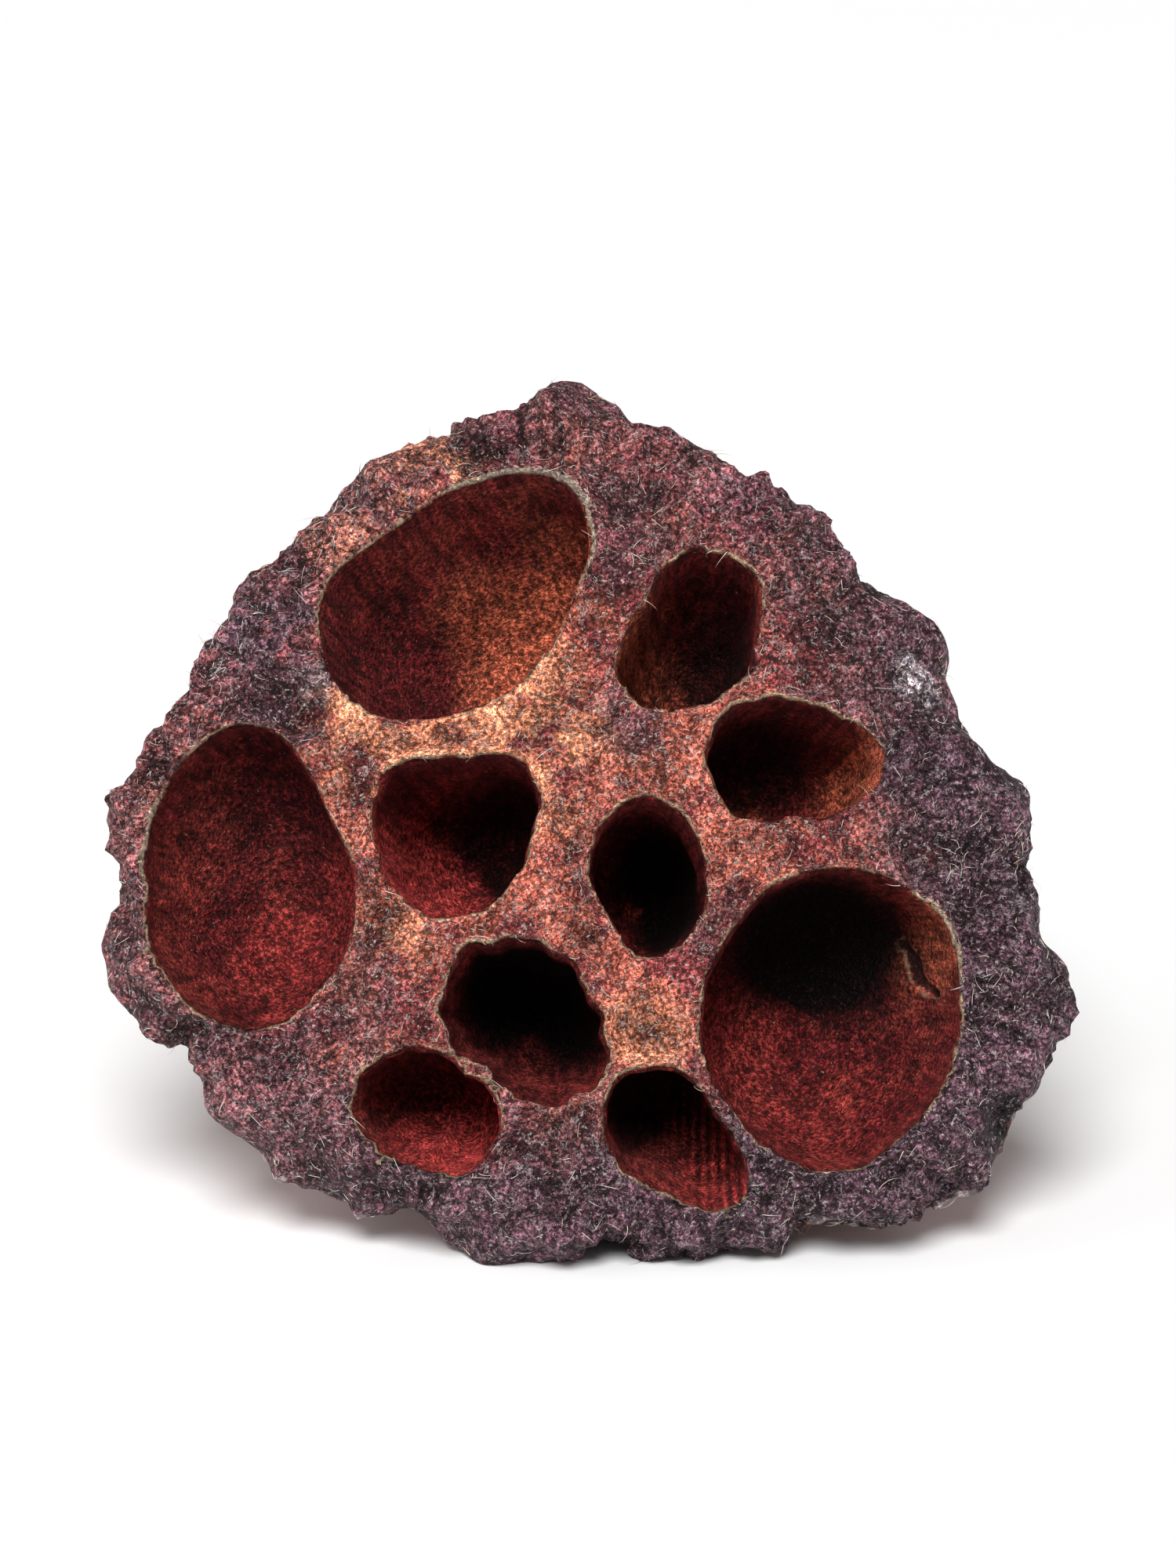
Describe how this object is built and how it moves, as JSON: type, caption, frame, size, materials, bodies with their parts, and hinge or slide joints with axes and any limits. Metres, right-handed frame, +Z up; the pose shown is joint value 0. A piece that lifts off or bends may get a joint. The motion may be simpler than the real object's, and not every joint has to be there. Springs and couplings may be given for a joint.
{
  "type": "dried lotus pod",
  "caption": "Dried lotus seed pod lying on its flank: woody cone with an open pitted seed face, deep empty seed cavities, folded flank, craggy rim and a short cut stem stub.",
  "frame": {"origin": "on the surface that the pod lies on, under the middle of its box", "axes": "+Z up, +X to the right across the seed face, +Y back from the seed face towards the stem"},
  "size_m": [0.0794, 0.0588, 0.0636],
  "materials": {
    "husk": "matt, leathery red-brown husk, grey-violet towards the rim, with dark mahogany cavities",
    "pith": "matt straw-brown stem fibre, torn at its end"
  },
  "bodies": {
    "root": {"receptacle": "husk", "stem_stub": "pith"}
  },
  "joints": []
}
